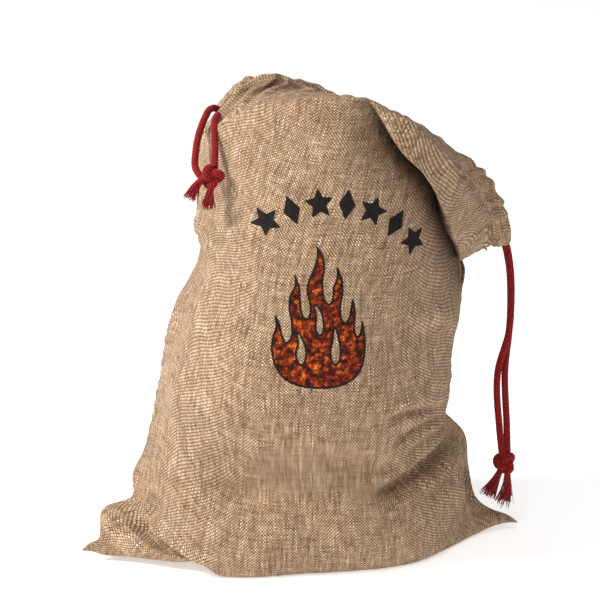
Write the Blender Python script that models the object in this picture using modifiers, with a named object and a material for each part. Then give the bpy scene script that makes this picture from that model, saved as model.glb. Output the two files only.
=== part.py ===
"""Fabric gift sack with two drawcords.

A filled hessian sack standing on its gathered base. The mouth is open, its right-hand ear is
flopped over into a lapel, and two drawcords run round inside the hem casing. Each cord leaves
at one side seam as two strands that are tied in a knot and end in two frayed tails.
Row frame: +X right, +Y back, +Z up, front faces -Y, origin at the middle of the base.
"""
import math

import bmesh
import bpy
import numpy as np
from mathutils import Euler, Vector

MM = 0.001

# Cloth
CLOTH = 2.0 * MM
SEAM_GAP = 0.45 * MM
FLOOR = 2.2 * MM
PANEL_COLUMNS = 26
PANEL_ROWS = 32

# Casing: a flattened hollow tube that fills the band between these two heights of the cloth
PANEL_END = 0.922
CASING_START = 0.9255
CASING_HALF = 5.7 * MM
CASING_WALL = 1.2 * MM
CASING_STEPS = 34
EXIT_SHARE = 0.032

# Cords
CORD = 7.0 * MM
KNOT_CORD = 5.0 * MM
KNOT_MAJOR = 6.2 * MM
KNOT_MINOR = 2.9 * MM
TAIL = 6.4 * MM
RUN_GAP = 1.6 * MM
EXIT_STRAIGHT = 5.0 * MM
LOWER_LANE = 0.30
UPPER_LANE = 0.68

# Stitching and seams
THREAD = 1.0 * MM
TACK = 2.4 * MM
ALLOWANCE_WIDTH = 9.0 * MM
ALLOWANCE_THICKNESS = 3.0 * MM

# Side seams: share of the way up the cloth, then x, y, z
LEFT_SEAM = (
    (0.00, -0.248, -0.050, 0.008),
    (0.05, -0.224, -0.047, 0.022),
    (0.10, -0.209, -0.040, 0.046),
    (0.15, -0.185, -0.030, 0.064),
    (0.20, -0.179, -0.020, 0.095),
    (0.27, -0.169, -0.010, 0.130),
    (0.35, -0.156, -0.005, 0.175),
    (0.43, -0.150, 0.000, 0.215),
    (0.52, -0.131, 0.000, 0.268),
    (0.62, -0.105, 0.000, 0.320),
    (0.72, -0.112, 0.000, 0.370),
    (0.82, -0.112, 0.000, 0.420),
    (0.90, -0.100, 0.000, 0.462),
    (1.00, -0.070, 0.000, 0.508),
)
RIGHT_SEAM = (
    (0.00, 0.246, -0.004, 0.005),
    (0.06, 0.216, -0.002, 0.016),
    (0.12, 0.197, 0.000, 0.040),
    (0.18, 0.189, 0.000, 0.078),
    (0.25, 0.184, 0.000, 0.115),
    (0.32, 0.157, 0.000, 0.149),
    (0.38, 0.165, 0.000, 0.180),
    (0.45, 0.166, 0.000, 0.220),
    (0.54, 0.176, 0.000, 0.265),
    (0.66, 0.183, 0.000, 0.300),
    (0.77, 0.181, 0.000, 0.319),
    (0.88, 0.200, -0.005, 0.331),
    (1.00, 0.231, -0.015, 0.336),
)
# Middle of each panel from the bottom seam, along the base and up to the rim
FRONT_MIDDLE = (
    (0.00, -0.003, -0.020, 0.000),
    (0.10, 0.000, -0.085, 0.000),
    (0.17, 0.000, -0.125, 0.002),
    (0.22, 0.000, -0.140, 0.030),
    (0.30, 0.000, -0.151, 0.085),
    (0.40, 0.000, -0.151, 0.160),
    (0.50, 0.005, -0.149, 0.230),
    (0.60, 0.012, -0.146, 0.300),
    (0.70, 0.022, -0.141, 0.365),
    (0.80, 0.035, -0.133, 0.420),
    (0.90, 0.045, -0.108, 0.470),
    (1.00, 0.055, -0.064, 0.500),
)
BACK_MIDDLE = (
    (0.00, -0.003, -0.020, 0.000),
    (0.10, 0.000, 0.070, 0.000),
    (0.17, 0.000, 0.120, 0.002),
    (0.22, 0.000, 0.138, 0.030),
    (0.30, 0.000, 0.151, 0.085),
    (0.40, 0.000, 0.151, 0.160),
    (0.50, 0.005, 0.149, 0.230),
    (0.60, 0.012, 0.143, 0.295),
    (0.70, 0.020, 0.132, 0.350),
    (0.80, 0.030, 0.120, 0.400),
    (0.90, 0.040, 0.100, 0.440),
    (1.00, 0.050, 0.076, 0.480),
)
# Cross-section: share of the way up, flatness, then fullness beside the left and right seams
SECTION = (
    (0.00, 6.0, 0.80, 0.90),
    (0.08, 6.0, 0.75, 0.85),
    (0.15, 5.0, 0.70, 0.80),
    (0.22, 3.6, 0.58, 0.60),
    (0.32, 2.6, 0.52, 0.50),
    (0.50, 2.3, 0.50, 0.50),
    (0.75, 2.2, 0.50, 0.50),
    (1.00, 2.2, 0.50, 0.50),
)
# Shoulder of the filled sack, where the cloth turns in towards the mouth, left seam to right seam
SHOULDER = 0.88
SHOULDER_FROM = 0.62
FRONT_SHOULDER = (
    (-0.1025, 0.000, 0.4540),
    (-0.106, -0.022, 0.462),
    (-0.088, -0.048, 0.484),
    (-0.056, -0.077, 0.509),
    (-0.006, -0.097, 0.517),
    (0.034, -0.101, 0.518),
    (0.064, -0.100, 0.516),
    (0.100, -0.094, 0.497),
    (0.134, -0.086, 0.465),
    (0.160, -0.078, 0.433),
    (0.179, -0.060, 0.398),
    (0.194, -0.034, 0.358),
    (0.2000, -0.005, 0.3310),
)
BACK_SHOULDER = (
    (-0.1025, 0.000, 0.4540),
    (-0.098, 0.030, 0.462),
    (-0.070, 0.068, 0.468),
    (-0.020, 0.100, 0.464),
    (0.040, 0.110, 0.450),
    (0.100, 0.102, 0.430),
    (0.150, 0.078, 0.404),
    (0.180, 0.042, 0.370),
    (0.194, 0.018, 0.345),
    (0.2000, -0.005, 0.3310),
)
# Rim of the mouth from the left cord exit to the right cord exit
FRONT_RIM = (
    (-0.070, 0.000, 0.508),
    (-0.062, -0.012, 0.520),
    (-0.044, -0.012, 0.531),
    (-0.026, -0.006, 0.531),
    (-0.004, -0.002, 0.520),
    (0.022, -0.008, 0.510),
    (0.044, -0.030, 0.507),
    (0.068, -0.048, 0.503),
    (0.096, -0.054, 0.485),
    (0.126, -0.050, 0.462),
    (0.156, -0.044, 0.444),
    (0.184, -0.040, 0.430),
    (0.203, -0.038, 0.412),
    (0.216, -0.038, 0.392),
    (0.2245, -0.036, 0.370),
    (0.229, -0.028, 0.350),
    (0.231, -0.015, 0.336),
)
BACK_RIM = (
    (-0.070, 0.000, 0.508),
    (-0.062, 0.020, 0.515),
    (-0.044, 0.044, 0.518),
    (-0.012, 0.062, 0.512),
    (0.022, 0.072, 0.500),
    (0.060, 0.078, 0.480),
    (0.110, 0.072, 0.454),
    (0.160, 0.054, 0.430),
    (0.195, 0.034, 0.408),
    (0.215, 0.018, 0.385),
    (0.225, 0.006, 0.362),
    (0.2295, -0.005, 0.344),
    (0.231, -0.015, 0.336),
)
# Way the cloth points as it reaches the rim: share of the way round, then x, y, z
FRONT_LIP = (
    (0.00, 0.030, 0.000, 0.050),
    (0.15, 0.010, 0.008, 0.058),
    (0.30, 0.002, 0.014, 0.050),
    (0.45, 0.000, 0.035, 0.020),
    (0.65, 0.010, 0.035, -0.020),
    (0.82, 0.035, 0.015, -0.010),
    (1.00, 0.036, -0.010, 0.006),
)
BACK_LIP = (
    (0.00, 0.030, 0.000, 0.050),
    (0.25, 0.002, -0.020, 0.052),
    (0.70, 0.004, -0.024, 0.044),
    (0.88, 0.030, -0.012, 0.010),
    (1.00, 0.036, -0.010, 0.006),
)
# Deep fold that parts the flopped lapel from the front: x and z down its length
FOLD = (
    (0.044, 0.528),
    (0.066, 0.505),
    (0.105, 0.463),
    (0.137, 0.425),
    (0.148, 0.393),
    (0.160, 0.362),
    (0.170, 0.333),
)
FOLD_DEPTH = 11.0 * MM
FOLD_WIDTH = 13.0 * MM
LAPEL_LIFT = 9.0 * MM
LAPEL_REACH = 45.0 * MM

# Cords outside the casing: swing pivots at the exits, knots, and points each strand and tail passes
LEFT_EXIT = (-0.094, 0.000, 0.490)
RIGHT_EXIT = (0.229, -0.014, 0.338)
LEFT_KNOT = (-0.106, -0.080, 0.437)
RIGHT_KNOT = (0.2285, -0.016, 0.0835)
KNOT_REACH = 12.4 * MM
STRANDS = {
    "left_strand_front": (-1, 1.0, LOWER_LANE, ((-0.0965, -0.0050, 0.4850), (-0.1070, -0.0130, 0.4830),
                                                (-0.1065, -0.0400, 0.4700), (-0.1040, -0.0620, 0.4580),
                                                (-0.1020, -0.0790, 0.4500))),
    "left_strand_back": (1, 1.0, LOWER_LANE, ((-0.0940, 0.0030, 0.4935), (-0.1080, -0.0010, 0.4925),
                                              (-0.1165, -0.0200, 0.4740), (-0.1200, -0.0450, 0.4580),
                                              (-0.1105, -0.0810, 0.4500))),
    "right_strand_front": (-1, -1.0, UPPER_LANE, ((0.2260, -0.0210, 0.3330), (0.2290, -0.0205, 0.3180),
                                                  (0.2325, -0.0200, 0.2710), (0.2305, -0.0200, 0.2370),
                                                  (0.2190, -0.0190, 0.1920), (0.2215, -0.0180, 0.1250),
                                                  (0.2245, -0.0165, 0.0965))),
    "right_strand_back": (1, -1.0, UPPER_LANE, ((0.2265, -0.0075, 0.3330), (0.2300, -0.0085, 0.3180),
                                                (0.2335, -0.0110, 0.2710), (0.2325, -0.0115, 0.2370),
                                                (0.2280, -0.0130, 0.1920), (0.2305, -0.0145, 0.1250),
                                                (0.2325, -0.0155, 0.0965))),
}
TAILS = {
    "left_tail_front": ((0.003, -0.004, 0.0), (0.002, -0.006, -0.012), (-0.001, -0.007, -0.024)),
    "left_tail_back": ((-0.005, -0.002, 0.0), (-0.012, -0.003, -0.010), (-0.019, -0.004, -0.021)),
    "right_tail_front": ((-0.004, -0.003, 0.0), (-0.013, -0.006, -0.010), (-0.024, -0.009, -0.020)),
    "right_tail_back": ((0.004, 0.000, 0.0), (0.003, 0.000, -0.014), (-0.001, 0.001, -0.032)),
}

COLOURS = {
    "hessian": ((0.56, 0.42, 0.29, 1.0), 0.92, 0.0),
    "thread": ((0.50, 0.36, 0.23, 1.0), 0.85, 0.0),
    "cotton": ((0.22, 0.012, 0.014, 1.0), 0.82, 0.0),
}


def hermite(table, share):
    """Rows of table joined by smooth curves, read at each share of the way."""
    rows = np.array(table, float)
    keys, values = rows[:, 0], rows[:, 1:]
    slopes = np.gradient(values, keys, axis=0)
    share = np.clip(np.asarray(share, float), keys[0], keys[-1])
    index = np.clip(np.searchsorted(keys, share, side="right") - 1, 0, len(keys) - 2)
    step = (keys[index + 1] - keys[index])[:, None]
    x = (share[:, None] - keys[index][:, None]) / step
    return ((2 * x**3 - 3 * x**2 + 1) * values[index] + (x**3 - 2 * x**2 + x) * step * slopes[index]
            + (3 * x**2 - 2 * x**3) * values[index + 1] + (x**3 - x**2) * step * slopes[index + 1])


def along(points, share):
    """Points on a smooth curve through the route, at shares of its length."""
    route = np.array(points, float)
    lengths = np.concatenate(([0.0], np.cumsum(np.linalg.norm(np.diff(route, axis=0), axis=1))))
    return hermite(np.column_stack((lengths / lengths[-1], route)), share)


def smooth_step(low, high, value):
    x = np.clip((value - low) / (high - low), 0.0, 1.0)
    return x * x * (3.0 - 2.0 * x)


def fold_offset(x, z):
    """Forward push of the cloth beside the deep fold: inward in it, outward on the lapel."""
    line = along([(a, 0.0, b) for a, b in FOLD], np.linspace(0.0, 1.0, 60))[:, (0, 2)]
    tangent = np.gradient(line, axis=0)
    tangent /= np.linalg.norm(tangent, axis=1)[:, None]
    point = np.stack((x, z), -1)
    away = np.linalg.norm(point[:, None, :] - line[None], axis=2)
    near = away.argmin(axis=1)
    offset = point - line[near]
    side = tangent[near, 0] * offset[:, 1] - tangent[near, 1] * offset[:, 0]
    distance = away.min(axis=1)
    ends = smooth_step(0.0, 12.0, near) * smooth_step(0.0, 14.0, 59 - near)
    fold = -FOLD_DEPTH * np.exp(-(distance / FOLD_WIDTH) ** 2) * ends
    right = smooth_step(0.0, FOLD_WIDTH, side)
    lapel = LAPEL_LIFT * right * np.exp(-(distance / LAPEL_REACH) ** 2) * ends
    return fold + lapel


def body(side, across, up):
    """Filled part of the sack: a cross-section that changes from the base to the shoulder."""
    left = hermite(LEFT_SEAM, up)
    right = hermite(RIGHT_SEAM, up)
    middle = hermite(FRONT_MIDDLE if side < 0 else BACK_MIDDLE, up)
    section = hermite(SECTION, up)
    share = (across + 1.0) / 2.0
    power = section[:, 1] * (1.0 - share) + section[:, 2] * share
    full = np.clip(1.0 - np.abs(across) ** section[:, 0], 0.0, 1.0) ** power
    centre, half = (left + right) / 2.0, (right - left) / 2.0
    return centre + half * across[:, None] + (middle - centre) * full[:, None]


def cloth(side, across, up):
    """Points of the cloth; side -1 front, 1 back; across -1 left seam to 1 right seam; up 0 to 1."""
    shape = across.shape
    across, up = across.ravel(), up.ravel()
    share = np.arccos(np.clip(-across, -1.0, 1.0)) / math.pi
    shoulder = along(FRONT_SHOULDER if side < 0 else BACK_SHOULDER, share)
    rim = along(FRONT_RIM if side < 0 else BACK_RIM, share)
    lip = hermite(FRONT_LIP if side < 0 else BACK_LIP, share)
    level = np.full_like(up, SHOULDER)
    top = body(side, across, level)
    points = body(side, across, np.minimum(up, SHOULDER))
    points += (shoulder - top) * smooth_step(SHOULDER_FROM, SHOULDER, up)[:, None]
    if side < 0:
        points[:, 1] -= fold_offset(points[:, 0], points[:, 2]) * (1.0 - smooth_step(0.78, SHOULDER, up))
    # Above the shoulder the cloth turns in and runs on to the rim
    slope = (top - body(side, across, level - 0.01)) * (1.0 - SHOULDER) * 60.0
    x = np.clip((up - SHOULDER) / (1.0 - SHOULDER), 0.0, 1.0)[:, None]
    collar = ((2 * x**3 - 3 * x**2 + 1) * shoulder + (x**3 - 2 * x**2 + x) * slope
              + (3 * x**2 - 2 * x**3) * rim + (x**3 - x**2) * lip)
    points = np.where(x > 0.0, collar, points)
    points[:, 2] = np.maximum(points[:, 2], FLOOR)
    return points.reshape(shape + (3,))


def normals(side, across, up):
    """Outward unit normals of the cloth."""
    step = 0.004
    low = cloth(side, across, np.clip(up - step, 0.0, 1.0))
    high = cloth(side, across, np.clip(up + step, 0.0, 1.0))
    a = np.clip(across - step, -1.0, 1.0)
    b = np.clip(across + step, -1.0, 1.0)
    turn = np.cross(cloth(side, b, up) - cloth(side, a, up), high - low) * (1.0 if side < 0 else -1.0)
    return turn / np.maximum(np.linalg.norm(turn, axis=-1), 1e-12)[..., None]


def material(name, kind):
    colour, roughness, metallic = COLOURS[kind]
    made = bpy.data.materials.new(name)
    made.use_nodes = True
    shader = made.node_tree.nodes["Principled BSDF"]
    shader.inputs["Base Color"].default_value = colour
    shader.inputs["Roughness"].default_value = roughness
    shader.inputs["Metallic"].default_value = metallic
    return made


def link(thing, kind):
    thing.data.materials.append(material(thing.name, kind))
    PARTS.objects.link(thing)
    return thing


def mesh_object(name, points, faces, kind, origin=(0.0, 0.0, 0.0)):
    base = Vector(origin)
    data = bpy.data.meshes.new(name)
    data.from_pydata([tuple(Vector(p) - base) for p in points], [], faces)
    solid = bmesh.new()
    solid.from_mesh(data)
    bmesh.ops.recalc_face_normals(solid, faces=solid.faces)
    solid.to_mesh(data)
    solid.free()
    thing = bpy.data.objects.new(name, data)
    thing.location = base
    return link(thing, kind)


def tube(name, points, width, kind, origin=(0.0, 0.0, 0.0), closed=False, resolution=2):
    """A round cord through the points, with flat filled ends."""
    base = Vector(origin)
    data = bpy.data.curves.new(name, "CURVE")
    data.dimensions = "3D"
    data.bevel_depth = width / 2.0
    data.bevel_resolution = resolution
    data.use_fill_caps = True
    spline = data.splines.new("POLY")
    spline.points.add(len(points) - 1)
    for knot, point in zip(spline.points, points):
        knot.co = (*(Vector(point) - base), 1.0)
    spline.use_cyclic_u = closed
    thing = bpy.data.objects.new(name, data)
    thing.location = base
    return link(thing, kind)


def route(points, spacing=0.007):
    """Evenly spaced points on a smooth curve through a few route points."""
    length = sum((Vector(b) - Vector(a)).length for a, b in zip(points, points[1:]))
    count = max(4, round(length / spacing))
    return along(points, np.linspace(0.0, 1.0, count + 1))


def panel(name, side):
    """One cloth panel: an open surface thickened outward."""
    angle = np.linspace(0.0, math.pi, PANEL_COLUMNS + 1)
    across, up = np.meshgrid(-np.cos(angle), np.linspace(0.0, PANEL_END, PANEL_ROWS + 1))
    points = cloth(side, across, up) + normals(side, across, up) * SEAM_GAP
    points[..., 1] += side * SEAM_GAP
    width = PANEL_COLUMNS + 1
    faces = []
    for row in range(PANEL_ROWS):
        for column in range(PANEL_COLUMNS):
            a = row * width + column
            loop = (a, a + 1, a + 1 + width, a + width)
            faces.append(loop if side < 0 else loop[::-1])
    data = bpy.data.meshes.new(name)
    data.from_pydata([tuple(p) for p in points.reshape(-1, 3)], [], faces)
    thing = bpy.data.objects.new(name, data)
    shell = thing.modifiers.new("Cloth", "SOLIDIFY")
    shell.thickness = CLOTH
    shell.offset = 1.0
    return link(thing, "hessian")


def casing(name, side):
    """The hem casing: a hollow flattened tube round one half of the mouth."""
    share = np.linspace(EXIT_SHARE, 1.0 - EXIT_SHARE, CASING_STEPS + 1)
    across = -np.cos(share * math.pi)
    ring = np.linspace(0.0, 2.0 * math.pi, 17)[:-1]
    middle, half = (1.0 + CASING_START) / 2.0, (1.0 - CASING_START) / 2.0
    layers = []
    for shrink, thick in ((1.0, CASING_HALF), (0.90, CASING_HALF - CASING_WALL)):
        height = np.sign(np.cos(ring)) * np.abs(np.cos(ring)) ** 0.8
        depth = np.sign(np.sin(ring)) * np.abs(np.sin(ring)) ** 0.8
        a, u = np.meshgrid(across, middle + half * shrink * height, indexing="ij")
        centre = cloth(side, a, u)
        layers.append(centre + normals(side, a, u) * (thick * depth)[None, :, None])
    steps, sides = layers[0].shape[:2]
    points = np.concatenate([layer.reshape(-1, 3) for layer in layers])
    inner = steps * sides
    faces = []
    for step in range(steps - 1):
        for turn in range(sides):
            a = step * sides + turn
            b = step * sides + (turn + 1) % sides
            faces.append((a, b, b + sides, a + sides))
            faces.append((inner + b, inner + a, inner + a + sides, inner + b + sides))
    for step in (0, steps - 1):
        for turn in range(sides):
            a = step * sides + turn
            b = step * sides + (turn + 1) % sides
            faces.append((a, b, inner + b, inner + a))
    return mesh_object(name, points, faces, "hessian")


def cord_run(name, exit_side, lane):
    """A drawcord's stretch inside the casing, all round the mouth and back to its own exit."""
    up = CASING_START + (1.0 - CASING_START) * lane
    share = np.linspace(EXIT_SHARE, 1.0, 34)
    across = -np.cos(share * math.pi) * exit_side
    height = np.full_like(across, up)
    out = cloth(-1, across, height)
    back = cloth(1, across[::-1], height)
    return tube(name, np.concatenate((out, back[1:])), CORD, "cotton")


def strand(name, side, exit_side, lane, points, pivot):
    """One strand from the end of its run in the casing, out through the exit and down to the knot."""
    up = np.array([CASING_START + (1.0 - CASING_START) * lane] * 2)
    across = -exit_side * np.cos(np.array([EXIT_SHARE, EXIT_SHARE - 0.004]) * math.pi)
    end, beyond = (Vector(point) for point in cloth(side, across, up))
    heading = (beyond - end).normalized()
    return tube(name, route([end + heading * RUN_GAP, end + heading * EXIT_STRAIGHT, *points]), CORD, "cotton", pivot)


def hem_stitch(name, side):
    """The line of stitching that closes the casing."""
    across = -np.cos(np.linspace(0.03, 0.97, 44) * math.pi)
    up = np.full_like(across, PANEL_END - 0.012)
    lift = CLOTH + SEAM_GAP * 2 + THREAD
    points = cloth(side, across, up) + normals(side, across, up) * lift
    return tube(name, points, THREAD, "thread", resolution=1)


def side_allowance(name, seam, inward):
    """The seam allowance that stands inside one side seam."""
    up = np.linspace(0.27, 0.76, 22)
    line = hermite(seam, up)
    near = 2.6 * MM
    points = []
    for offset, depth in ((near, -0.5), (near, 0.5), (near + ALLOWANCE_WIDTH, 0.5),
                          (near + ALLOWANCE_WIDTH, -0.5)):
        strip = line.copy()
        strip[:, 0] += inward * offset
        strip[:, 1] += depth * ALLOWANCE_THICKNESS
        points.append(strip)
    rings = np.stack(points, axis=1)
    count = len(up)
    faces = [(0, 1, 2, 3), tuple(4 * (count - 1) + k for k in (3, 2, 1, 0))]
    for step in range(count - 1):
        for corner in range(4):
            a = 4 * step + corner
            b = 4 * step + (corner + 1) % 4
            faces.append((a, b, b + 4, a + 4))
    return mesh_object(name, rings.reshape(-1, 3), faces, "hessian")


def base_allowance(name):
    """The bottom seam allowance, folded flat inside the base."""
    across = np.linspace(-0.62, 0.62, 16)
    line = cloth(-1, across, np.zeros_like(across))
    rings = []
    for lift, sway in ((0.0, -0.5), (0.0, 0.5), (1.0, 0.5), (1.0, -0.5)):
        strip = line.copy()
        strip[:, 1] += sway * ALLOWANCE_WIDTH
        strip[:, 2] += 0.4 * MM + lift * ALLOWANCE_THICKNESS
        rings.append(strip)
    points = np.stack(rings, axis=1).reshape(-1, 3)
    count = len(across)
    faces = [(0, 1, 2, 3), tuple(4 * (count - 1) + k for k in (3, 2, 1, 0))]
    for step in range(count - 1):
        for corner in range(4):
            a = 4 * step + corner
            b = 4 * step + (corner + 1) % 4
            faces.append((a, b, b + 4, a + 4))
    return mesh_object(name, points, faces, "hessian")


def bartack(name, seam, outward):
    """A dense stitch across the side seam just under the cord exit."""
    point, above = hermite(seam, np.array([PANEL_END - 0.020, PANEL_END]))
    rise = (above - point) / np.linalg.norm(above - point)
    point += np.array((rise[2], 0.0, -rise[0])) * outward * (CLOTH + TACK / 2.0 + 1.4 * MM)
    points = [(point[0], point[1] + y * MM, point[2]) for y in (-5.0, 0.0, 5.0)]
    return tube(name, points, TACK, "thread")


def knot(name, centre, origin, tilt):
    """A drawn-down overhand knot."""
    points = []
    for step in range(54):
        t = 2.0 * math.pi * step / 54
        radius = KNOT_MAJOR + KNOT_MINOR * math.cos(3.0 * t)
        local = Vector((radius * math.cos(2.0 * t), KNOT_MINOR * math.sin(3.0 * t),
                        radius * math.sin(2.0 * t)))
        local.rotate(tilt)
        points.append(Vector(centre) + local)
    return tube(name, points, KNOT_CORD, "cotton", origin, closed=True)


for old in list(bpy.data.objects):
    bpy.data.objects.remove(old, do_unlink=True)

PARTS = bpy.data.collections.new("fabric_gift_sack")
bpy.context.scene.collection.children.link(PARTS)

panel("front_panel", -1)
panel("back_panel", 1)
casing("front_casing", -1)
casing("back_casing", 1)
side_allowance("left_side_seam", LEFT_SEAM, 1.0)
side_allowance("right_side_seam", RIGHT_SEAM, -1.0)
base_allowance("bottom_seam")
hem_stitch("front_hem_stitch", -1)
hem_stitch("back_hem_stitch", 1)
bartack("left_bartack", LEFT_SEAM, -1.0)
bartack("right_bartack", RIGHT_SEAM, 1.0)
cord_run("left_cord_run", 1.0, LOWER_LANE)
cord_run("right_cord_run", -1.0, UPPER_LANE)

exits = {"left": (LEFT_EXIT, LEFT_KNOT), "right": (RIGHT_EXIT, RIGHT_KNOT)}
for strand_name, (strand_side, exit_side, lane, points) in STRANDS.items():
    pivot = exits[strand_name.split("_")[0]][0]
    strand(strand_name, strand_side, exit_side, lane, points, pivot)
for end in ("left", "right"):
    pivot, centre = exits[end]
    knot(end + "_knot", centre, pivot, Euler((0.35, 0.0, 0.5)))
for tail_name, offsets in TAILS.items():
    pivot, centre = exits[tail_name.split("_")[0]]
    start = Vector(centre) - Vector((0.0, 0.0, KNOT_REACH))
    tube(tail_name, route([start + Vector(offset) for offset in offsets], 0.008), TAIL, "cotton", pivot)
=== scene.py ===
"""Looks of the fabric gift sack: hessian cloth, printed motif, braided red drawcords and their knots."""

import math
import random

import bpy
import numpy as np
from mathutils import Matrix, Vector
from mathutils.bvhtree import BVHTree


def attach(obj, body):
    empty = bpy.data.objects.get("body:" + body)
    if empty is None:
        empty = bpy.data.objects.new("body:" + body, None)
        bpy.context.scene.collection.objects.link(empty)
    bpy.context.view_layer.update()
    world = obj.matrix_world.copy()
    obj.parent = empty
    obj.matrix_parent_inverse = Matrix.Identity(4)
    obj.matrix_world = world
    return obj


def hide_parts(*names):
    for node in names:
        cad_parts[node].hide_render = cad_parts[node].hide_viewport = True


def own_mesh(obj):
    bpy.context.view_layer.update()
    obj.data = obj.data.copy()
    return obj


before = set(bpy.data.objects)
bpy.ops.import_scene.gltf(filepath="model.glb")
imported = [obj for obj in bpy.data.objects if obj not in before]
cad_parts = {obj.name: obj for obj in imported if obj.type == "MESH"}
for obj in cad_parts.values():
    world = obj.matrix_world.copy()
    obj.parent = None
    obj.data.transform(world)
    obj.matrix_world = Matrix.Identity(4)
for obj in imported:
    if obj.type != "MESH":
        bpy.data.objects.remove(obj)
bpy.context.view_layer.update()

# Cloth: the tables and functions of part.py, with a sharper fold beside the lapel
MM = 0.001
FLOOR = 2.2 * MM


def metres(rows, kept=0):
    """Rows in metres from rows in mm; the first few values of each row stay as they are."""
    return [(*row[:kept], *(value / 1000 for value in row[kept:])) for row in rows]


# Tables inside metres() are written in mm. Side seams: share of the way up the cloth, then x, y, z
LEFT_SEAM = metres((
    (0.00, -248, -50, 8), (0.05, -224, -47, 22), (0.10, -209, -40, 46), (0.15, -185, -30, 64),
    (0.20, -179, -20, 95), (0.27, -169, -10, 130), (0.35, -156, -5, 175), (0.43, -150, 0, 215),
    (0.52, -131, 0, 268), (0.62, -105, 0, 320), (0.72, -112, 0, 370), (0.82, -112, 0, 420),
    (0.90, -100, 0, 462), (1.00, -70, 0, 508),
), 1)
RIGHT_SEAM = metres((
    (0.00, 246, -4, 5), (0.06, 216, -2, 16), (0.12, 197, 0, 40), (0.18, 189, 0, 78), (0.25, 184, 0, 115),
    (0.32, 157, 0, 149), (0.38, 165, 0, 180), (0.45, 166, 0, 220), (0.54, 176, 0, 265), (0.66, 183, 0, 300),
    (0.77, 181, 0, 319), (0.88, 200, -5, 331), (1.00, 231, -15, 336),
), 1)
# Middle of each panel from the bottom seam, along the base and up to the rim
FRONT_MIDDLE = metres((
    (0.00, -3, -20, 0), (0.10, 0, -85, 0), (0.17, 0, -125, 2), (0.22, 0, -140, 30), (0.30, 0, -151, 85),
    (0.40, 0, -151, 160), (0.50, 5, -149, 230), (0.60, 12, -146, 300), (0.70, 22, -141, 365),
    (0.80, 35, -133, 420), (0.90, 45, -108, 470), (1.00, 55, -64, 500),
), 1)
BACK_MIDDLE = metres((
    (0.00, -3, -20, 0), (0.10, 0, 70, 0), (0.17, 0, 120, 2), (0.22, 0, 138, 30), (0.30, 0, 151, 85),
    (0.40, 0, 151, 160), (0.50, 5, 149, 230), (0.60, 12, 143, 295), (0.70, 20, 132, 350),
    (0.80, 30, 120, 400), (0.90, 40, 100, 440), (1.00, 50, 76, 480),
), 1)
# Cross-section: share of the way up, flatness, then fullness beside the left and right seams
SECTION = (
    (0.00, 6.0, 0.80, 0.90), (0.08, 6.0, 0.75, 0.85), (0.15, 5.0, 0.70, 0.80), (0.22, 3.6, 0.58, 0.60),
    (0.32, 2.6, 0.52, 0.50), (0.50, 2.3, 0.50, 0.50), (0.75, 2.2, 0.50, 0.50), (1.00, 2.2, 0.50, 0.50),
)
# Shoulder of the filled sack, where the cloth turns in towards the mouth, left seam to right seam
SHOULDER = 0.88
SHOULDER_FROM = 0.62
FRONT_SHOULDER = metres((
    (-102.5, 0, 454), (-106, -22, 462), (-88, -48, 484), (-56, -77, 509), (-6, -97, 517), (34, -101, 518),
    (64, -100, 516), (100, -94, 497), (134, -86, 465), (160, -78, 433), (179, -60, 398), (194, -34, 358),
    (200, -5, 331),
))
BACK_SHOULDER = metres((
    (-102.5, 0, 454), (-98, 30, 462), (-70, 68, 468), (-20, 100, 464), (40, 110, 450), (100, 102, 430),
    (150, 78, 404), (180, 42, 370), (194, 18, 345), (200, -5, 331),
))
# Rim of the mouth from the left cord exit to the right cord exit
FRONT_RIM = metres((
    (-70, 0, 508), (-62, -12, 520), (-44, -12, 531), (-26, -6, 531), (-4, -2, 520), (22, -8, 510),
    (44, -30, 507), (68, -48, 503), (96, -54, 485), (126, -50, 462), (156, -44, 444), (184, -40, 430),
    (203, -38, 412), (216, -38, 392), (224.5, -36, 370), (229, -28, 350), (231, -15, 336),
))
BACK_RIM = metres((
    (-70, 0, 508), (-62, 20, 515), (-44, 44, 518), (-12, 62, 512), (22, 72, 500), (60, 78, 480),
    (110, 72, 454), (160, 54, 430), (195, 34, 408), (215, 18, 385), (225, 6, 362), (229.5, -5, 344),
    (231, -15, 336),
))
# Way the cloth points as it reaches the rim: share of the way round, then x, y, z
FRONT_LIP = metres((
    (0.00, 30, 0, 50), (0.15, 10, 8, 58), (0.30, 2, 14, 50), (0.45, 0, 35, 20), (0.65, 10, 35, -20),
    (0.82, 35, 15, -10), (1.00, 36, -10, 6),
), 1)
BACK_LIP = metres((
    (0.00, 30, 0, 50), (0.25, 2, -20, 52), (0.70, 4, -24, 44), (0.88, 30, -12, 10), (1.00, 36, -10, 6),
), 1)
# Deep fold that parts the flopped lapel from the front: x and z down its length
FOLD = metres((
    (44, 528), (66, 505), (105, 463), (137, 425), (148, 393), (160, 362), (170, 333),
))
FOLD_DEPTH = 15.0 * MM
FOLD_WIDTH = 11.0 * MM
LAPEL_LIFT = 13.0 * MM
LAPEL_REACH = 48.0 * MM
# Points read along a line; the step up the cloth that gives the shoulder's slope, and that slope's
# strength; and the step for normals
LINE_STEPS = 60
LEVEL_STEP = 0.01
TURN_IN = 60.0
NORMAL_STEP = 0.004


def blends(x):
    """Shares of a cubic curve's start, slope at the start, end, and slope at the end."""
    return 2 * x**3 - 3 * x**2 + 1, x**3 - 2 * x**2 + x, 3 * x**2 - 2 * x**3, x**3 - x**2


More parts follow.
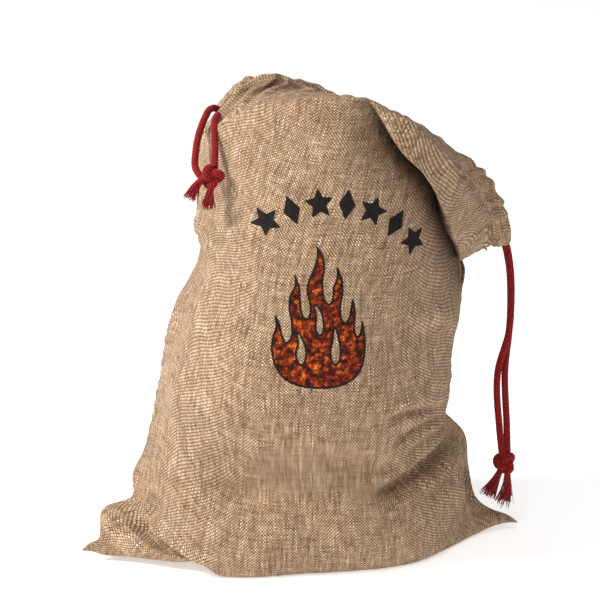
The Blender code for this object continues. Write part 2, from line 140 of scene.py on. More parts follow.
def hermite(table, share):
    """Rows of table joined by smooth curves, read at each share of the way."""
    rows = np.array(table, float)
    keys, values = rows[:, 0], rows[:, 1:]
    slopes = np.gradient(values, keys, axis=0)
    share = np.clip(np.asarray(share, float), keys[0], keys[-1])
    index = np.clip(np.searchsorted(keys, share, side="right") - 1, 0, len(keys) - 2)
    step = (keys[index + 1] - keys[index])[:, None]
    a, b, c, d = blends((share[:, None] - keys[index][:, None]) / step)
    return a * values[index] + b * step * slopes[index] + c * values[index + 1] + d * step * slopes[index + 1]


def along(points, share):
    """Points on a smooth curve through the route, at shares of its length."""
    route = np.array(points, float)
    lengths = np.concatenate(([0.0], np.cumsum(np.linalg.norm(np.diff(route, axis=0), axis=1))))
    return hermite(np.column_stack((lengths / lengths[-1], route)), share)


def smooth_step(low, high, value):
    x = np.clip((value - low) / (high - low), 0.0, 1.0)
    return x * x * (3.0 - 2.0 * x)


def nearest(flat, line):
    """Each point's distance to a line in x and z, how far it is to the line's left, and the step beside it."""
    route = along([(a, 0.0, b) for a, b in line], np.linspace(0.0, 1.0, LINE_STEPS))[:, (0, 2)]
    way = np.gradient(route, axis=0)
    way /= np.linalg.norm(way, axis=1)[:, None]
    away = np.linalg.norm(flat[:, None, :] - route[None], axis=2)
    near = away.argmin(axis=1)
    offset = flat - route[near]
    return away.min(axis=1), way[near, 0] * offset[:, 1] - way[near, 1] * offset[:, 0], near


def beside(flat, line):
    """Signed distance to a line in x and z, positive to its left going along it, and share along it."""
    distance, left, near = nearest(flat, line)
    return distance * np.sign(left), near / (LINE_STEPS - 1.0)


def fold_offset(x, z):
    """Forward push of the cloth beside the deep fold: inward in it, outward on the lapel."""
    distance, side, near = nearest(np.stack((x, z), -1), FOLD)
    ends = smooth_step(0.0, 12.0, near) * smooth_step(0.0, 14.0, LINE_STEPS - 1 - near)
    fold = -FOLD_DEPTH * np.exp(-(distance / FOLD_WIDTH) ** 2) * ends
    right = smooth_step(0.0, FOLD_WIDTH, side)
    lapel = LAPEL_LIFT * right * np.exp(-(distance / LAPEL_REACH) ** 2) * ends
    return fold + lapel


def body(side, across, up):
    """Filled part of the sack: a cross-section that changes from the base to the shoulder."""
    left = hermite(LEFT_SEAM, up)
    right = hermite(RIGHT_SEAM, up)
    middle = hermite(FRONT_MIDDLE if side < 0 else BACK_MIDDLE, up)
    section = hermite(SECTION, up)
    share = (across + 1.0) / 2.0
    power = section[:, 1] * (1.0 - share) + section[:, 2] * share
    full = np.clip(1.0 - np.abs(across) ** section[:, 0], 0.0, 1.0) ** power
    centre, half = (left + right) / 2.0, (right - left) / 2.0
    return centre + half * across[:, None] + (middle - centre) * full[:, None]


def cloth(side, across, up):
    """Points of the cloth; side -1 front, 1 back; across -1 left seam to 1 right seam; up 0 to 1."""
    shape = across.shape
    across, up = across.ravel(), up.ravel()
    share = np.arccos(np.clip(-across, -1.0, 1.0)) / math.pi
    shoulder = along(FRONT_SHOULDER if side < 0 else BACK_SHOULDER, share)
    rim = along(FRONT_RIM if side < 0 else BACK_RIM, share)
    lip = hermite(FRONT_LIP if side < 0 else BACK_LIP, share)
    level = np.full_like(up, SHOULDER)
    top = body(side, across, level)
    points = body(side, across, np.minimum(up, SHOULDER))
    points += (shoulder - top) * smooth_step(SHOULDER_FROM, SHOULDER, up)[:, None]
    if side < 0:
        points[:, 1] -= fold_offset(points[:, 0], points[:, 2]) * (1.0 - smooth_step(0.78, SHOULDER, up))
    # Above the shoulder the cloth turns in and runs on to the rim
    slope = (top - body(side, across, level - LEVEL_STEP)) * (1.0 - SHOULDER) * TURN_IN
    x = np.clip((up - SHOULDER) / (1.0 - SHOULDER), 0.0, 1.0)[:, None]
    a, b, c, d = blends(x)
    points = np.where(x > 0.0, a * shoulder + b * slope + c * rim + d * lip, points)
    points[:, 2] = np.maximum(points[:, 2], FLOOR)
    return points.reshape(shape + (3,))


def normals(side, across, up):
    """Outward unit normals of the cloth."""
    low = cloth(side, across, np.clip(up - NORMAL_STEP, 0.0, 1.0))
    high = cloth(side, across, np.clip(up + NORMAL_STEP, 0.0, 1.0))
    a = np.clip(across - NORMAL_STEP, -1.0, 1.0)
    b = np.clip(across + NORMAL_STEP, -1.0, 1.0)
    turn = np.cross(cloth(side, b, up) - cloth(side, a, up), high - low) * (1.0 if side < 0 else -1.0)
    return turn / np.maximum(np.linalg.norm(turn, axis=-1), 1e-12)[..., None]


# ---------------------------------------------------------------- camera, floor and light


AZIMUTH, ELEVATION = math.radians(-8.0), math.radians(15.0)
DISTANCE = 4.5
VIEW_WIDTH = 0.66
VIEW_MIDDLE = (0.0, 0.0, 0.2755)
SENSOR = 36.0
WORLD_LIGHT = 0.36
FLOOR_PAINT = 0.94
FLOOR_GLOW = 0.48


def put(name, data):
    """A new object in the scene."""
    thing = bpy.data.objects.new(name, data)
    bpy.context.scene.collection.objects.link(thing)
    return thing


def camera():
    """A long lens a little to the left of the front, at the photo's height."""
    back = Vector((math.sin(AZIMUTH) * math.cos(ELEVATION), -math.cos(AZIMUTH) * math.cos(ELEVATION),
                   math.sin(ELEVATION)))
    data = bpy.data.cameras.new("camera")
    data.sensor_width = SENSOR
    data.lens = SENSOR * DISTANCE / VIEW_WIDTH
    data.clip_end = 60.0
    thing = put("camera", data)
    thing.location = Vector(VIEW_MIDDLE) + back * DISTANCE
    thing.rotation_euler = back.to_track_quat("Z", "Y").to_euler()
    bpy.context.scene.camera = thing


def area_light(name, place, target, size, power, colour=(1.0, 1.0, 1.0)):
    """A square light that faces its target."""
    data = bpy.data.lights.new(name, "AREA")
    data.size = size
    data.energy = power
    data.color = colour
    thing = put(name, data)
    thing.location = place
    thing.rotation_euler = (Vector(place) - Vector(target)).to_track_quat("Z", "Y").to_euler()


def studio():
    """A key light from the left, a weak fill from the front, and a floor that glows so that it stays white."""
    bpy.context.scene.view_settings.view_transform = "Standard"
    world = bpy.data.worlds.new("studio")
    bpy.context.scene.world = world
    world.use_nodes = True
    sky = world.node_tree.nodes["Background"]
    sky.inputs["Color"].default_value = (1.0, 1.0, 1.0, 1.0)
    sky.inputs["Strength"].default_value = WORLD_LIGHT
    area_light("key", (-2.45, -0.45, 2.25), (0.0, 0.0, 0.28), 0.8, 120.0, (1.0, 0.99, 0.98))
    area_light("fill", (-0.1, -1.7, 2.8), (0.0, 0.0, 0.25), 1.0, 27.0)
    bpy.ops.mesh.primitive_plane_add(size=30.0, location=(0.0, 0.0, 0.0))
    floor = bpy.context.object
    floor.name = "floor"
    paint = Graph("floor")
    paint.values({"Base Color": (FLOOR_PAINT, FLOOR_PAINT, FLOOR_PAINT, 1.0), "Roughness": 0.8,
                  "Specular IOR Level": 0.0, "Emission Color": (1.0, 1.0, 1.0, 1.0),
                  "Emission Strength": FLOOR_GLOW})
    floor.data.materials.append(paint.material)


# ---------------------------------------------------------------- materials


class Graph:
    """Short hand for building one material's nodes."""

    def __init__(self, name):
        self.material = bpy.data.materials.new(name)
        self.material.use_nodes = True
        self.tree = self.material.node_tree
        self.shader = self.tree.nodes["Principled BSDF"]

    def node(self, kind, **settings):
        made = self.tree.nodes.new(kind)
        for key, value in settings.items():
            setattr(made, key, value)
        return made

    def wire(self, source, target):
        self.tree.links.new(source, target)

    def values(self, settings):
        """Set the shader's own values by their names."""
        for name, value in settings.items():
            self.shader.inputs[name].default_value = value

    def feed(self, sockets, values):
        """Give each socket a number, a colour or another node's output."""
        for socket, value in zip(sockets, values):
            if isinstance(value, (int, float)):
                socket.default_value = value
            elif isinstance(value, tuple):
                socket.default_value = (*value, 1.0)
            else:
                self.wire(value, socket)

    def maths(self, operation, *values):
        made = self.node("ShaderNodeMath", operation=operation)
        self.feed(made.inputs, values)
        return made.outputs[0]

    def noise(self, vector, scale, detail=2.0, roughness=0.5, stretch=(1.0, 1.0, 1.0)):
        spread = self.node("ShaderNodeMapping")
        spread.inputs["Scale"].default_value = stretch
        self.wire(vector, spread.inputs["Vector"])
        made = self.node("ShaderNodeTexNoise")
        made.inputs["Scale"].default_value = scale
        made.inputs["Detail"].default_value = detail
        made.inputs["Roughness"].default_value = roughness
        self.wire(spread.outputs[0], made.inputs["Vector"])
        return made.outputs["Fac"]

    def ramp(self, factor, *stops):
        """Colours along a ramp; a colour that is one number is a grey."""
        made = self.node("ShaderNodeValToRGB")
        line = made.color_ramp
        while len(line.elements) < len(stops):
            line.elements.new(0.5)
        for element, (place, colour) in zip(line.elements, stops):
            element.position = place
            element.color = (*(colour if isinstance(colour, tuple) else (colour,) * 3), 1.0)
        self.wire(factor, made.inputs["Fac"])
        return made.outputs["Color"]

    def mix(self, kind, factor, a, b):
        made = self.node("ShaderNodeMix", data_type="RGBA", blend_type=kind)
        self.feed((made.inputs[0], made.inputs[6], made.inputs[7]), (factor, a, b))
        return made.outputs[2]

    def times(self, colour, other, share=1.0):
        """One colour multiplied by another."""
        return self.mix("MULTIPLY", share, colour, other)

    def attribute(self, name):
        return self.node("ShaderNodeAttribute", attribute_name=name).outputs["Fac"]

    def bump(self, height, distance, strength=1.0):
        made = self.node("ShaderNodeBump")
        made.inputs["Distance"].default_value = distance
        made.inputs["Strength"].default_value = strength
        self.wire(height, made.inputs["Height"])
        return made.outputs["Normal"]

    def finish(self, colour, normal):
        self.wire(colour, self.shader.inputs["Base Color"])
        self.wire(normal, self.shader.inputs["Normal"])
        return self.material


THREAD_PITCH = 1.72 * MM
# How threads wander, so that their spacing is never quite even: scale of the noise and size in mm
DRIFTS = ((16.0, 6.0), (170.0, 0.7))
# Each thread reads its own line of the noise, this far from the next thread's, at this scale along it
THREAD_APART = 7.31
THREAD_STREAK = 44.0
WARP_APART = 11.0
WEAVE_BUMP = 0.9 * MM
# Slubs: thicker, darker or paler stretches a few threads wide, along the warp and the weft
SLUBS = ((26.0, 300.0, 1.0), (340.0, 30.0, 1.0))
PATCHES = (9.0, 7.0, 1.0)


def weave(graph, coordinates):
    """Plain weave: rounded height, streaky tone of the thread on top, and how far the warp stands over."""
    for scale, size in DRIFTS:
        drift = graph.node("ShaderNodeTexNoise")
        drift.inputs["Scale"].default_value = scale
        drift.inputs["Detail"].default_value = 1.0
        graph.wire(coordinates, drift.inputs["Vector"])
        centred = graph.node("ShaderNodeVectorMath", operation="SUBTRACT")
        graph.wire(drift.outputs["Color"], centred.inputs[0])
        centred.inputs[1].default_value = (0.5, 0.5, 0.5)
        moved = graph.node("ShaderNodeVectorMath", operation="MULTIPLY_ADD")
        graph.wire(centred.outputs[0], moved.inputs[0])
        moved.inputs[1].default_value = (size * MM, size * MM, 0.0)
        graph.wire(coordinates, moved.inputs[2])
        coordinates = moved.outputs[0]
    split = graph.node("ShaderNodeSeparateXYZ")
    graph.wire(coordinates, split.inputs[0])
    waves, tones = [], []
    for axis in (0, 1):
        turns = graph.maths("MULTIPLY", split.outputs[axis], math.pi / THREAD_PITCH)
        waves.append(graph.maths("SINE", turns))
        thread = graph.maths("FLOOR", graph.maths("MULTIPLY", split.outputs[axis], 1.0 / THREAD_PITCH))
        place = graph.node("ShaderNodeCombineXYZ")
        graph.wire(graph.maths("MULTIPLY", thread, THREAD_APART), place.inputs[0])
        graph.wire(graph.maths("MULTIPLY", split.outputs[1 - axis], THREAD_STREAK), place.inputs[1])
        place.inputs[2].default_value = WARP_APART * axis
        tones.append(graph.noise(place.outputs[0], 1.0, 3.0, 0.7))
    product = graph.maths("MULTIPLY", waves[0], waves[1])
    on_top = graph.maths("GREATER_THAN", product, 0.0)
    over = graph.maths("ADD", graph.maths("MULTIPLY", product, 0.5), 0.5)
    heights = [graph.maths("ABSOLUTE", wave) for wave in waves]
    picked = []
    for warp, weft in (heights, tones):
        swap = graph.node("ShaderNodeMix", data_type="FLOAT")
        graph.feed((swap.inputs[0], swap.inputs[2], swap.inputs[3]), (on_top, weft, warp))
        picked.append(swap.outputs[0])
    return picked[0], picked[1], over


def hessian(name, source="UV", tint=(1.20, 1.12, 1.06), ink=None):
    """Natural hessian; ink is a function that makes the colour of a print over the threads."""
    graph = Graph(name)
    coordinates = graph.node("ShaderNodeTexCoord").outputs[source]
    height, tone, over = weave(graph, coordinates)
    colour = graph.ramp(tone, (0.30, (0.150, 0.086, 0.044)), (0.42, (0.37, 0.255, 0.160)),
                        (0.53, (0.57, 0.430, 0.295)), (0.68, (0.90, 0.760, 0.580)))
    # Painted light and shade: cells where the warp lies on top are painted lit, cells where the weft lies on top
    # painted in shade.
    colour = graph.times(colour, graph.ramp(over, (0.25, (0.34, 0.29, 0.25)), (0.72, 1.12)))
    for stretch in SLUBS:
        slub = graph.ramp(graph.noise(coordinates, 1.0, 3.0, stretch=stretch),
                          (0.34, (0.60, 0.55, 0.50)), (0.52, 0.97), (0.66, 1.16))
        colour = graph.times(colour, slub, 0.5)
    patches = graph.noise(coordinates, 1.0, 3.0, stretch=PATCHES)
    colour = graph.times(colour, graph.ramp(patches, (0.35, (0.82, 0.78, 0.74)), (0.65, 1.0)), 0.55)
    # Painted shade between the threads where they dip, on the cloth and, more weakly, on the print.
    painted_weave_shade = graph.ramp(height, (0.10, (0.52, 0.47, 0.42)), (0.50, 1.0))
    colour = graph.times(graph.times(colour, painted_weave_shade, 0.9), tint)
    # Painted shade: the colour darkens in the valley beside the lapel, by the front cloth's "depth" value.
    colour = graph.times(colour, graph.ramp(graph.attribute("depth"), (0.0, 1.0), (1.0, (0.34, 0.26, 0.20))))
    if ink is not None:
        colour = graph.mix("MIX", 0.98, colour, graph.times(ink(graph, coordinates), painted_weave_shade, 0.6))
    graph.values({"Roughness": 0.92, "Sheen Weight": 0.08 if ink is None else 0.0, "Sheen Roughness": 0.6,
                  "Specular IOR Level": 0.15})
    threads = graph.maths("ADD", graph.maths("MULTIPLY", height, 0.3), graph.maths("MULTIPLY", tone, 0.6))
    return graph.finish(colour, graph.bump(graph.maths("ADD", threads, over), WEAVE_BUMP))


def black_ink(graph, coordinates):
    """Matt black."""
    return graph.ramp(graph.noise(coordinates, 1.0, stretch=(180.0, 180.0, 1.0)),
                      (0.3, (0.004, 0.004, 0.005)), (0.8, (0.016, 0.014, 0.013)))


def ember_ink(graph, coordinates):
    """Orange, red and black mottling."""
    blotch = graph.ramp(graph.noise(coordinates, 1.0, 5.0, 0.66, (130.0, 130.0, 1.0)),
                        (0.39, (0.010, 0.003, 0.002)), (0.48, (0.13, 0.010, 0.003)),
                        (0.56, (0.38, 0.040, 0.005)), (0.64, (0.70, 0.170, 0.012)),
                        (0.75, (0.92, 0.460, 0.050)))
    speck = graph.noise(coordinates, 1.0, 3.0, 0.7, (300.0, 300.0, 1.0))
    return graph.times(blotch, graph.ramp(speck, (0.40, (0.10, 0.06, 0.05)), (0.50, 1.0)), 0.8)


def cotton(name, deep=(0.11, 0.002, 0.002), bright=(0.42, 0.008, 0.008), fibre=900.0, braided=False):
    """Dark red cotton; on a braided cord, shade is painted between its plaited strands and a highlight onto their
    crests.
    """
    graph = Graph(name)
    coordinates = graph.node("ShaderNodeTexCoord").outputs["Object"]
    fibres = graph.noise(coordinates, fibre, 3.0, 0.7)
    clumps = graph.noise(coordinates, 120.0)
    colour = graph.ramp(fibres, (0.32, deep), (0.68, bright))
    colour = graph.times(colour, graph.ramp(clumps, (0.35, (0.7, 0.6, 0.6)), (0.65, 1.0)), 0.5)
    if braided:
        # Painted shade between the plaited strands, painted highlight on their crests.
        braid_painted_shade_and_highlight = graph.ramp(graph.attribute("ridge"), (0.05, (0.18, 0.12, 0.12)), (0.80, 1.35))
        colour = graph.times(colour, braid_painted_shade_and_highlight)
    graph.values({"Roughness": 0.85, "Sheen Weight": 0.12, "Sheen Roughness": 0.5, "Specular IOR Level": 0.2})
    return graph.finish(colour, graph.bump(fibres, 0.4 * MM, 0.8))


def thread_material(name):
    """Twisted sewing thread."""
    graph = Graph(name)
    coordinates = graph.node("ShaderNodeTexCoord").outputs["Object"]
    twist = graph.noise(coordinates, 1600.0)
    graph.values({"Roughness": 0.8})
    colour = graph.ramp(twist, (0.35, (0.30, 0.21, 0.13)), (0.65, (0.62, 0.49, 0.34)))
    return graph.finish(colour, graph.bump(twist, 0.2 * MM))


# ---------------------------------------------------------------- cloth

# Creases on the front: x and z down each crease, depth and half width in mm, side that rolls over it.
# These points and VALLEY's were picked on the photo and laid on the cloth by a helper program, and
# some were then moved by hand; report.md says so.
CREASES = (
    (((150, 168), (125, 176), (99, 181), (69, 174)), 10, 7, 1),
    (((152, 158), (125, 160), (103, 154), (80, 150)), 7.5, 7, -1),
    (((172, 131), (147, 140), (120, 145)), 4, 6, 1),
    (((186, 128), (160, 117), (117, 101), (87, 91), (52, 82)), 16, 10, 1),
    (((184, 92), (158, 85), (128, 72)), 5, 8, 1),
    (((-25, 133), (24, 131), (59, 122), (100, 104)), 6, 14, 1),
    (((-96, 166), (-62, 170), (-37, 163), (-8, 152)), 5.5, 14, -1),
    (((-120, 110), (-90, 97), (-55, 88)), 4, 12, 1),
    (((-196, 48), (-163, 28), (-138, 14), (-104, 2)), 15, 7, 1),
    (((-222, 34), (-206, 16), (-196, 4)), 6, 5, 1), (((-163, 82), (-175, 50), (-186, 30)), 7, 6, -1),
    (((-110, 350), (-97, 362), (-72, 360)), 4, 8, 1), (((-110, 328), (-92, 334), (-60, 330)), 4.5, 9, -1),
    (((-107, 379), (-91, 389), (-66, 391)), 3.5, 8, 1), (((178, 271), (144, 297), (108, 301)), 4, 11, -1),
    (((164, 233), (131, 256), (98, 264)), 3.5, 11, 1), (((165, 186), (145, 187), (118, 194)), 4, 7, 1),
    (((200, 26), (189, 50), (181, 84)), 7, 7, -1), (((232, 5), (208, 19), (186, 36)), 4, 6, 1),
    (((-101, 474), (-108, 456), (-111, 430)), 5, 4, 1),
)
# Valley that parts the lapel from the front: x and z down its length, in the visible cloth
VALLEY = metres(((45, 536), (67, 511), (97, 472), (132, 436), (148, 404), (159, 373), (170, 348), (186, 313)))
# How the cloth beside the valley moves: depth of its left bank and reach of that, the lapel's forward
# push and reach, its lean over the valley and how wide that is, and where the lapel starts
VALLEY_DEPTH, VALLEY_REACH = 44.0 * MM, 33.0 * MM
LAPEL_PUSH, LAPEL_FADE = 17.0 * MM, 42.0 * MM
LEAN, LEAN_WIDTH = 17.0 * MM, 9.0 * MM
LAPEL_START = 10.0 * MM
# Bulges of the cloth's ears on the floor: centre, radius and shift
EARS = (
    ((-0.205, -0.045, 0.045), 0.026, (-0.015, 0.0, 0.011)),
    ((-0.172, -0.020, 0.085), 0.020, (-0.009, 0.0, 0.002)),
    ((-0.240, -0.050, 0.012), 0.016, (0.0, -0.002, 0.008)),
    ((0.222, -0.004, 0.022), 0.022, (0.0, 0.0, 0.009)),
    ((0.236, -0.004, 0.010), 0.015, (0.0, 0.0, 0.004)),
)
# Soft waves all over the cloth: height, length and seed
WAVES = ((2.2 * MM, 0.115, 3), (0.7 * MM, 0.042, 8))
# Slack low on the front: how deep it hangs in, at what height, and the half width and height of it
SLACK, SLACK_HEIGHT, SLACK_WIDTH, SLACK_SPAN = 21.0 * MM, 0.104, 0.145, 0.044
GATHER, GATHERS = 2.6 * MM, 19.0
PUCKER, PUCKERS = 0.9 * MM, 46.0
FLOOR_GAP = 0.3 * MM
CLOTH = 1.3 * MM
HEM_CLOTH = 0.9 * MM
COLUMNS, ROWS = 220, 270
HEM_START = 0.9235


def wander(points, scale, seed):
    """Smooth pseudo-random field made of a few waves, about -1 to 1."""
    rng = np.random.default_rng(seed)
    total = np.zeros(points.shape[:-1])
    for _ in range(14):
        way = rng.normal(size=3)
        way *= rng.uniform(0.6, 1.5) / (np.linalg.norm(way) * scale)
        total += np.sin(points @ way * 2.0 * math.pi + rng.uniform(0.0, 2.0 * math.pi))
    return total / 3.2


def crease(points, line, depth, width, roll):
    """Inward push along one crease with a roll of cloth over one side, fading at its ends."""
    signed, share = beside(points[:, (0, 2)], metres(sorted(line)))
    ends = smooth_step(-0.02, 0.30, share) * smooth_step(1.02, 0.70, share)
    ratio = signed * roll / (width * MM)
    return depth * MM * (0.55 * np.exp(-((ratio - 1.7) / 1.1) ** 2) - np.exp(-ratio**2)) * ends


def lapel_band(points, up):
    """Distance and share along the valley, and how much of its shift the cloth takes at this height."""
    signed, share = beside(points[:, (0, 2)], VALLEY)
    return signed, share, smooth_step(0.965, 0.90, up) * smooth_step(0.55, 0.66, up)


def lapel_shift(points, up):
    """Shift of the front cloth beside the valley: back in it, forward and over it on the lapel."""
    signed, share, hold = lapel_band(points, up)
    begin = smooth_step(-0.04, 0.42, share)
    left = VALLEY_DEPTH * np.exp(-(np.minimum(signed, 0.0) / VALLEY_REACH) ** 2)
    right = smooth_step(0.0, LAPEL_START, signed)
    over = LAPEL_PUSH * np.exp(-(np.maximum(signed - LAPEL_START, 0.0) / LAPEL_FADE) ** 2)
    push = (left * (1.0 - right) - over * right) * begin
    lean = LEAN * np.exp(-((signed - LAPEL_START) / LEAN_WIDTH) ** 2) * begin
    return np.stack((-0.85 * lean * hold, push * hold, -0.5 * lean * hold), -1)


def valley_painted_shade(points, up):
    """How deep in the valley each point of the front lies, 0 to 1; the material paints shade there by this value.
    """
    signed, share, hold = lapel_band(points, up)
    left = np.exp(-(np.minimum(signed, 0.0) / (31.0 * MM)) ** 2) * smooth_step(9.0 * MM, 3.0 * MM, signed)
    return left * smooth_step(0.0, 0.35, share) * hold


def ear_shift(points):
    """Fuller cloth ears on the floor at both ends of the bottom seam."""
    total = np.zeros_like(points)
    for centre, radius, way in EARS:
        away = np.linalg.norm(points - np.array(centre), axis=-1) / radius
        total += np.exp(-(away**2))[..., None] * np.array(way)
    return total


def relief(side, across, up, points):
    """Outward push of folds, creases and gathers on the cloth."""
    share = np.arccos(np.clip(-across, -1.0, 1.0)) / math.pi
    base = smooth_step(0.14, 0.24, up)
    push = sum(size * wander(points, scale, seed + side) for size, scale, seed in WAVES) * base
    if side < 0:
        flat = points.reshape(-1, 3)
        folds = sum(crease(flat, *row) for row in CREASES)
        x, z = points[..., 0], points[..., 2]
        # The belly over the slack stands out a little
        slack = np.exp(-((z - SLACK_HEIGHT) / SLACK_SPAN) ** 2) - 0.40 * np.exp(-((z - 0.205) / 0.05) ** 2)
        push -= SLACK * slack * np.exp(-(((x - 0.005) / SLACK_WIDTH) ** 4))
        push += folds.reshape(push.shape) * smooth_step(0.04, 0.12, up)
    # Gathers that the drawcord pulls into the hem and the cloth just under it
    rim = smooth_step(0.86, 0.99, up)
    busy = 0.45 + 0.9 * smooth_step(0.30, 0.10, share) + 0.9 * smooth_step(0.66, 0.86, share)
    phase = share * 2.0 * math.pi * GATHERS + 1.7 * np.sin(share * 23.0) + 1.1 * np.sin(share * 51.0 + side)
    clear = smooth_step(0.0, 0.09, np.minimum(share, 1.0 - share))
    push += GATHER * rim * busy * clear * np.sin(phase)
    # Small puckers along the side seams
    for edge in (share, 1.0 - share):
        push += PUCKER * np.exp(-(edge / 0.05) ** 2) * base * np.sin(up * 2.0 * math.pi * PUCKERS)
    return push


def surface(side, across, up):
    """Points and outward normals of the finished cloth."""
    plain = cloth(side, across, up)
    out = normals(side, across, up)
    hold = np.minimum(1.0, np.minimum(np.arccos(-across), math.pi - np.arccos(-across)) / 0.10)
    moved = plain + out * (relief(side, across, up, plain) * hold)[..., None] + ear_shift(plain)
    if side < 0:
        shift = lapel_shift(plain.reshape(-1, 3), up.ravel()).reshape(plain.shape)
        moved = moved + shift * smooth_step(0.0, 0.5, hold)[..., None]
    moved[..., 2] = np.maximum(moved[..., 2], FLOOR_GAP)
    return moved, out


def solid_object(name, verts, faces, material):
    """A smooth mesh with one material."""
    data = bpy.data.meshes.new(name)
    data.from_pydata([tuple(v) for v in verts], [], faces)
    for polygon in data.polygons:
        polygon.use_smooth = True
    data.materials.append(material)
    return put(name, data)


def ring_faces(start, rings, sides, closed=False):
    """Faces of a tube whose rings of vertices follow each other, with flat ends unless it's closed."""
    faces = []
    for ring in range(rings if closed else rings - 1):
        low, high = start + ring * sides, start + (ring + 1) % rings * sides
        for k in range(sides):
            after = (k + 1) % sides
            faces.append((low + k, low + after, high + after, high + k))
    if not closed:
        faces.append(tuple(start + k for k in reversed(range(sides))))
        faces.append(tuple(high + k for k in range(sides)))
    return faces


def ring_points(path, a, b, angle, radius):
    """Rings of points round a path, at angles between its cross directions a and b."""
    return (path[:, None, :] + a[:, None, :] * (np.cos(angle) * radius)[..., None]
            + b[:, None, :] * (np.sin(angle) * radius)[..., None])


def set_uv(data, places):
    """Give each vertex one place in the mesh's UV map."""
    layer = data.uv_layers.new(name="UVMap")
    index = np.zeros(len(data.loops), int)
    data.loops.foreach_get("vertex_index", index)
    layer.data.foreach_set("uv", places[index].ravel())


def set_value(data, name, values):
    """Give each vertex a value that the material reads."""
    data.attributes.new(name, "FLOAT", "POINT").data.foreach_set("value", values.ravel())


def grid_object(name, points, uv, material, wrap=False):
    """A quad grid with a UV map that holds lengths along the cloth, in metres."""
    rows, columns = points.shape[:2]
    faces = []
    for row in range(rows - 1):
        for column in range(columns if wrap else columns - 1):
            a = row * columns + column
            b = row * columns + (column + 1) % columns
            faces.append((a, b, b + columns, a + columns))
    thing = solid_object(name, points.reshape(-1, 3), faces, material)
    set_uv(thing.data, uv.reshape(-1, 2))
    return thing


def lengths(points):
    """Lengths along each row from its middle, and up each column."""
    rows = np.linalg.norm(np.diff(points, axis=1), axis=2)
    u = np.concatenate((np.zeros((len(points), 1)), np.cumsum(rows, axis=1)), axis=1)
    u -= u[:, [u.shape[1] // 2]]
    columns = np.linalg.norm(np.diff(points, axis=0), axis=2)
    v = np.concatenate((np.zeros((1, points.shape[1])), np.cumsum(columns, axis=0)), axis=0)
    return np.stack((u, v), -1)


def thicken(thing, thickness, offset):
    """Turn a single sheet of cloth into a solid one."""
    shell = thing.modifiers.new("Cloth", "SOLIDIFY")
    shell.thickness = thickness
    shell.offset = offset
    graph = bpy.context.evaluated_depsgraph_get()
    solid = bpy.data.meshes.new_from_object(thing.evaluated_get(graph))
    thing.modifiers.clear()
    thing.data = solid
    return thing


def panel(name, side, material):
    """One panel from the bottom seam up to just inside the hem."""
    angle = np.linspace(0.0, math.pi, COLUMNS + 1)
    across, up = np.meshgrid(-np.cos(angle), np.linspace(0.0, HEM_START + 0.004, ROWS + 1))
    points, _ = surface(side, across, up)
    uv = lengths(cloth(side, across, up))
    if side > 0:
        points, uv = points[:, ::-1], uv[:, ::-1]
    thing = grid_object(name, points, uv, material)
    if side < 0:
        # The "depth" value paints shade into the colour in the valley beside the lapel.
        set_value(thing.data, "depth", valley_painted_shade(cloth(side, across, up).reshape(-1, 3), up.ravel()))
    return thicken(thing, CLOTH, 1.0)


def hem(name, side, material):
    """Folded hem: a soft tube round the mouth, flat at its stitching and full over the cords."""
    share = np.linspace(0.022, 0.978, 190)
    across = -np.cos(share * math.pi)
    turn = np.linspace(0.0, 2.0 * math.pi, 41)[:-1]
    middle, half = (1.0 + HEM_START) / 2.0, (1.0 - HEM_START) / 2.0
    height = -np.cos(turn)
    outer = np.sin(turn)
    width = (1.0 + 4.9 * smooth_step(-0.95, -0.35, height)) * MM
    width = width * np.sqrt(np.clip(1.0 - np.abs(height) ** 5, 0.0, 1.0)) + 0.1 * MM
    depth = np.sign(outer) * width
    a, u = np.meshgrid(across, middle + half * height, indexing="ij")
    points, out = surface(side, a, u)
    crinkle = 0.5 * MM * wander(points, 0.012, 21 + side) * smooth_step(-0.8, 0.0, height)[None, :]
    points = points + out * (depth[None, :] + crinkle + 0.6 * MM)[..., None]
    uv = lengths(points)
    if side > 0:
        points, uv = points[::-1], uv[::-1]
    return thicken(grid_object(name, points, uv, material, wrap=True), HEM_CLOTH, -1.0)


def cord_run(name, lane, material):
    """Cord inside the hem all the way round the mouth, following the finished cloth."""
    share = np.linspace(0.045, 0.955, 170)
    up = np.full_like(share, HEM_START + (1.0 - HEM_START) * lane)
    angle = np.linspace(0.0, 2.0 * math.pi, RUN_SIDES + 1)[:-1]
    for side, end in ((-1, "front"), (1, "back")):
        points, out = surface(side, -np.cos(share * math.pi)[None], up[None])
        path = points[0] + out[0] * 0.6 * MM
        _, a, b = sweep_frames(path)
        verts = ring_points(path, a, b, angle[None], RUN_RADIUS).reshape(-1, 3)
        piece = solid_object(name + "_" + end, verts, ring_faces(0, len(path), RUN_SIDES), material)
        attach(piece, "sack")
        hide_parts(name)


def stitches(name, side, material):
    """A row of lock stitches, each a short bowed thread that thins at both ends."""
    sizes = (0.25, 0.45, 0.5, 0.45, 0.25)
    verts, faces = [], []
    for step in range(STITCHES):
        share = 0.035 + 0.93 * step / STITCHES + np.linspace(0.0, 0.93 / STITCHES * 0.68, len(sizes))
        points, out = surface(side, -np.cos(share * math.pi)[None], np.full((1, len(sizes)), HEM_START + 0.006))
        points, out = points[0], out[0]
        lift = (1.95 + 0.35 * np.sin(np.linspace(0.0, math.pi, len(sizes)))) * MM
        points = points + out * lift[:, None]
        way = np.gradient(points, axis=0)
        way /= np.linalg.norm(way, axis=1)[:, None]
        faces += ring_faces(len(verts), len(sizes), 6)
        for point, n, s, size in zip(points, out, np.cross(way, out), sizes):
            for k in range(6):
                angle = k * math.pi / 3.0
                verts.append(tuple(point + (n * math.sin(angle) + s * math.cos(angle)) * size * MM))
    return solid_object(name, verts, faces, material)


# ---------------------------------------------------------------- cords

